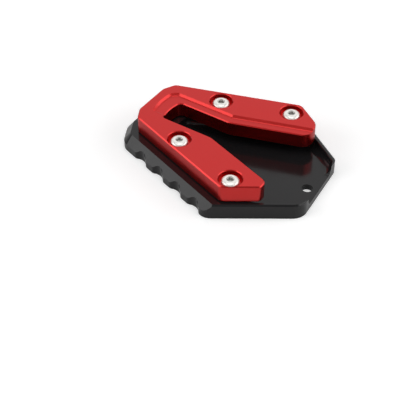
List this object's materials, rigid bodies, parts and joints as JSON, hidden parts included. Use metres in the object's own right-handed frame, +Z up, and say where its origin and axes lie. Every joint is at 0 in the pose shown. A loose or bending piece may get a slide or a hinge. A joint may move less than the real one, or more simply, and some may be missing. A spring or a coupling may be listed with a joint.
{
  "type": "kickstand foot enlarger",
  "caption": "Flat foot that clamps round the foot of a motorbike side stand to widen it: a black scalloped base with a foot pocket, a red V-shaped clamp plate and socket screws.",
  "frame": {"origin": "middle of the base plate's underside, at the centre of its bounding box", "axes": "+X along the plate from the heel to the open nose, +Y across it to the arm with the relief, +Z up from the ground"},
  "size_m": [0.1164, 0.0938, 0.0195],
  "materials": {
    "black_anodised": "glossy black anodised",
    "red_anodised": "satin red anodised over a blasted surface",
    "stainless_steel": "bright turned stainless steel"
  },
  "bodies": {
    "root": {"base_plate": "black_anodised", "clamp_plate": "red_anodised", "clamp_screws": "stainless_steel"}
  },
  "joints": []
}
